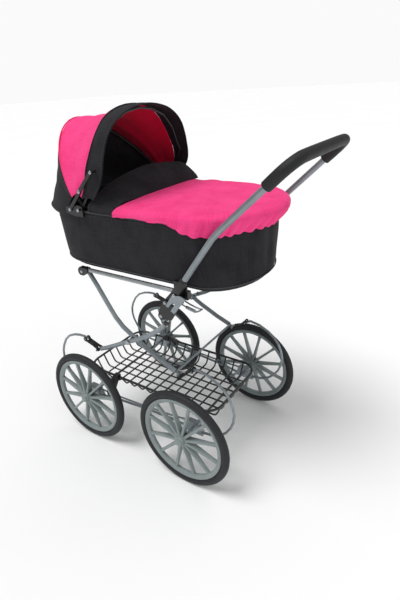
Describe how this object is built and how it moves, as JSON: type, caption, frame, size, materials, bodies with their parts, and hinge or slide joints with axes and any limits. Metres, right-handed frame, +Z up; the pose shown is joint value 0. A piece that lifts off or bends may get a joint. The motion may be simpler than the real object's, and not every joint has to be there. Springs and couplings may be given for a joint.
{
  "type": "doll stroller",
  "caption": "Coach-style doll pram: soft carrycot with folding hood on a wire-sprung folding frame with a push handle and a wire basket.",
  "frame": {"origin": "on the ground under the middle of the overall length and width", "axes": "+Z up, +X towards the push handle, +Y towards the right-hand wheels"},
  "size_m": [0.618, 0.34, 0.751],
  "materials": {
    "painted_steel": "silver-grey, semi-gloss",
    "bright_steel": "bright plated",
    "wheel_plastic": "grey, matt",
    "tyre": "dark grey foam rubber",
    "black_plastic": "black, matt",
    "black_wire": "black coated wire, gloss",
    "strap": "black strap",
    "black_cloth": "black woven cloth",
    "pink_cloth": "pink woven cloth",
    "grip_foam": "black foam",
    "board": "black board"
  },
  "bodies": {
    "chassis": {"axle_front": "painted_steel", "axle_rear": "painted_steel", "side_spring_left": "painted_steel", "side_spring_right": "painted_steel", "brace_rod_left": "painted_steel", "brace_rod_right": "painted_steel", "axle_bracket_front_left": "painted_steel", "axle_bracket_front_right": "painted_steel", "axle_bracket_rear_left": "painted_steel", "axle_bracket_rear_right": "painted_steel", "basket": "black_wire", "basket_clip_left": "black_plastic", "basket_clip_right": "black_plastic"},
    "front_wheel_left": {"wheel_front_left": "wheel_plastic", "tyre_front_left": "tyre"},
    "front_wheel_right": {"wheel_front_right": "wheel_plastic", "tyre_front_right": "tyre"},
    "rear_wheel_left": {"wheel_rear_left": "wheel_plastic", "tyre_rear_left": "tyre"},
    "rear_wheel_right": {"wheel_rear_right": "wheel_plastic", "tyre_rear_right": "tyre"},
    "pivot_carrier": {"pivot_bolt_left": "bright_steel", "pivot_bolt_right": "bright_steel"},
    "inner_frame": {"tube_inner_left": "painted_steel", "tube_inner_right": "painted_steel", "crossbar_rear": "painted_steel"},
    "outer_frame": {"tube_outer_left": "painted_steel", "tube_outer_right": "painted_steel"},
    "cot_frame": {"rail_left": "bright_steel", "rail_right": "bright_steel", "hinge_block_left": "black_plastic", "hinge_block_right": "black_plastic", "rear_bracket_left": "black_plastic", "rear_bracket_right": "black_plastic", "lock_channel_left": "painted_steel", "lock_channel_right": "painted_steel", "hood_bracket_left": "black_plastic", "hood_bracket_right": "black_plastic", "base_board": "board", "cot_shell": "black_cloth", "cot_cover": "pink_cloth", "hood_back_panel": "black_cloth"},
    "front_strap_left": {"strap_front_left": "strap"},
    "rear_strap_left": {"strap_rear_left": "strap"},
    "lock_left": {"lock_plate_left": "black_plastic"},
    "front_strap_right": {"strap_front_right": "strap"},
    "rear_strap_right": {"strap_rear_right": "strap"},
    "lock_right": {"lock_plate_right": "black_plastic"},
    "handle": {"handle_tube": "painted_steel", "handle_grip": "grip_foam"},
    "catch_left": {"bail_left": "painted_steel"},
    "catch_right": {"bail_right": "painted_steel"},
    "hood_middle": {"hood_middle_bow": "black_plastic", "hood_front_panel": "pink_cloth"},
    "hood_front": {"hood_front_bow": "black_plastic", "hood_visor": "black_cloth"},
    "lower_link_left": {"stretcher_lower_left": "black_plastic"},
    "upper_link_left": {"stretcher_upper_left": "black_plastic"},
    "lower_link_right": {"stretcher_lower_right": "black_plastic"},
    "upper_link_right": {"stretcher_upper_right": "black_plastic"}
  },
  "joints": [
    {"name": "front_wheel_left_spin", "type": "hinge", "parent": "chassis", "child": "front_wheel_left", "pos_m": [-0.194, -0.1525, 0.11], "axis": [0, 1, 0], "continuous": true},
    {"name": "front_wheel_right_spin", "type": "hinge", "parent": "chassis", "child": "front_wheel_right", "pos_m": [-0.194, 0.1525, 0.11], "axis": [0, 1, 0], "continuous": true},
    {"name": "rear_wheel_left_spin", "type": "hinge", "parent": "chassis", "child": "rear_wheel_left", "pos_m": [0.0795, -0.1525, 0.11], "axis": [0, 1, 0], "continuous": true},
    {"name": "rear_wheel_right_spin", "type": "hinge", "parent": "chassis", "child": "rear_wheel_right", "pos_m": [0.0795, 0.1525, 0.11], "axis": [0, 1, 0], "continuous": true},
    {"name": "carrier_drop", "type": "slide", "parent": "chassis", "child": "pivot_carrier", "axis": [0, 0, 1], "range_m": [-0.067, 0]},
    {"name": "frame_fold", "type": "hinge", "parent": "pivot_carrier", "child": "inner_frame", "pos_m": [-0.0624, 0, 0.2823], "axis": [0, -1, 0], "range_deg": [0, 24], "deforming": ["strap_front_left", "strap_front_right", "strap_rear_left", "strap_rear_right"]},
    {"name": "outer_frame_fold", "type": "hinge", "parent": "pivot_carrier", "child": "outer_frame", "pos_m": [-0.0624, 0, 0.2823], "axis": [0, -1, 0], "range_deg": [-27, 0]},
    {"name": "cot_level", "type": "hinge", "parent": "inner_frame", "child": "cot_frame", "pos_m": [-0.179, 0, 0.42], "axis": [0, -1, 0], "range_deg": [-24.5, 0]},
    {"name": "front_strap_left_swing", "type": "hinge", "parent": "chassis", "child": "front_strap_left", "pos_m": [-0.197, -0.126, 0.252], "axis": [0, -1, 0], "range_deg": [-33, 0]},
    {"name": "rear_strap_left_swing", "type": "hinge", "parent": "chassis", "child": "rear_strap_left", "pos_m": [0.087, -0.11, 0.25], "axis": [0, -1, 0], "range_deg": [0, 30.5]},
    {"name": "lock_left_swing", "type": "hinge", "parent": "cot_frame", "child": "lock_left", "pos_m": [0.0507, -0.13275, 0.4021], "axis": [0, -1, 0], "range_deg": [-75, 0]},
    {"name": "front_strap_right_swing", "type": "hinge", "parent": "chassis", "child": "front_strap_right", "pos_m": [-0.197, 0.126, 0.252], "axis": [0, -1, 0], "range_deg": [-33, 0]},
    {"name": "rear_strap_right_swing", "type": "hinge", "parent": "chassis", "child": "rear_strap_right", "pos_m": [0.087, 0.11, 0.25], "axis": [0, -1, 0], "range_deg": [0, 30.5]},
    {"name": "lock_right_swing", "type": "hinge", "parent": "cot_frame", "child": "lock_right", "pos_m": [0.0507, 0.13275, 0.4021], "axis": [0, -1, 0], "range_deg": [-75, 0]},
    {"name": "handle_fold", "type": "hinge", "parent": "cot_frame", "child": "handle", "pos_m": [0.086, 0, 0.438], "axis": [0, 1, 0], "range_deg": [0, 80]},
    {"name": "catch_left_swing", "type": "hinge", "parent": "cot_frame", "child": "catch_left", "pos_m": [0.078, -0.1195, 0.4065], "axis": [0, 1, 0], "range_deg": [0, 40]},
    {"name": "catch_right_swing", "type": "hinge", "parent": "cot_frame", "child": "catch_right", "pos_m": [0.078, 0.1195, 0.4065], "axis": [0, 1, 0], "range_deg": [0, 40]},
    {"name": "hood_fold", "type": "hinge", "parent": "cot_frame", "child": "hood_middle", "pos_m": [-0.133, 0, 0.565], "axis": [0, -1, 0], "range_deg": [0, 37.5], "deforming": ["hood_front_panel", "hood_back_panel"]},
    {"name": "hood_front_fold", "type": "hinge", "parent": "hood_middle", "child": "hood_front", "pos_m": [-0.133, 0, 0.565], "axis": [0, -1, 0], "range_deg": [0, 38]},
    {"name": "lower_link_left_swing", "type": "hinge", "parent": "cot_frame", "child": "lower_link_left", "pos_m": [-0.1568, -0.1462, 0.5642], "axis": [0, -1, 0], "range_deg": [0, 117]},
    {"name": "upper_link_left_swing", "type": "hinge", "parent": "hood_front", "child": "upper_link_left", "pos_m": [-0.082, -0.1488, 0.641], "axis": [0, -1, 0], "range_deg": [-52.5, 0]},
    {"name": "lower_link_right_swing", "type": "hinge", "parent": "cot_frame", "child": "lower_link_right", "pos_m": [-0.1568, 0.1462, 0.5642], "axis": [0, -1, 0], "range_deg": [0, 117]},
    {"name": "upper_link_right_swing", "type": "hinge", "parent": "hood_front", "child": "upper_link_right", "pos_m": [-0.082, 0.1488, 0.641], "axis": [0, -1, 0], "range_deg": [-52.5, 0]}
  ],
  "couplings": [
    {"joint": "carrier_drop", "follows": "frame_fold", "m_per_rad": -0.1578},
    {"joint": "outer_frame_fold", "follows": "frame_fold", "ratio": -1.1054},
    {"joint": "cot_level", "follows": "frame_fold", "ratio": -1},
    {"joint": "front_strap_left_swing", "follows": "frame_fold", "ratio": -1.3544},
    {"joint": "rear_strap_left_swing", "follows": "frame_fold", "ratio": 1.2488},
    {"joint": "lock_left_swing", "follows": "frame_fold", "ratio": -3.1},
    {"joint": "front_strap_right_swing", "follows": "frame_fold", "ratio": -1.3544},
    {"joint": "rear_strap_right_swing", "follows": "frame_fold", "ratio": 1.2488},
    {"joint": "lock_right_swing", "follows": "frame_fold", "ratio": -3.1},
    {"joint": "hood_front_fold", "follows": "hood_fold", "ratio": 1},
    {"joint": "lower_link_left_swing", "follows": "hood_fold", "ratio": 3.084},
    {"joint": "upper_link_left_swing", "follows": "hood_fold", "ratio": -1.368},
    {"joint": "lower_link_right_swing", "follows": "hood_fold", "ratio": 3.084},
    {"joint": "upper_link_right_swing", "follows": "hood_fold", "ratio": -1.368}
  ]
}
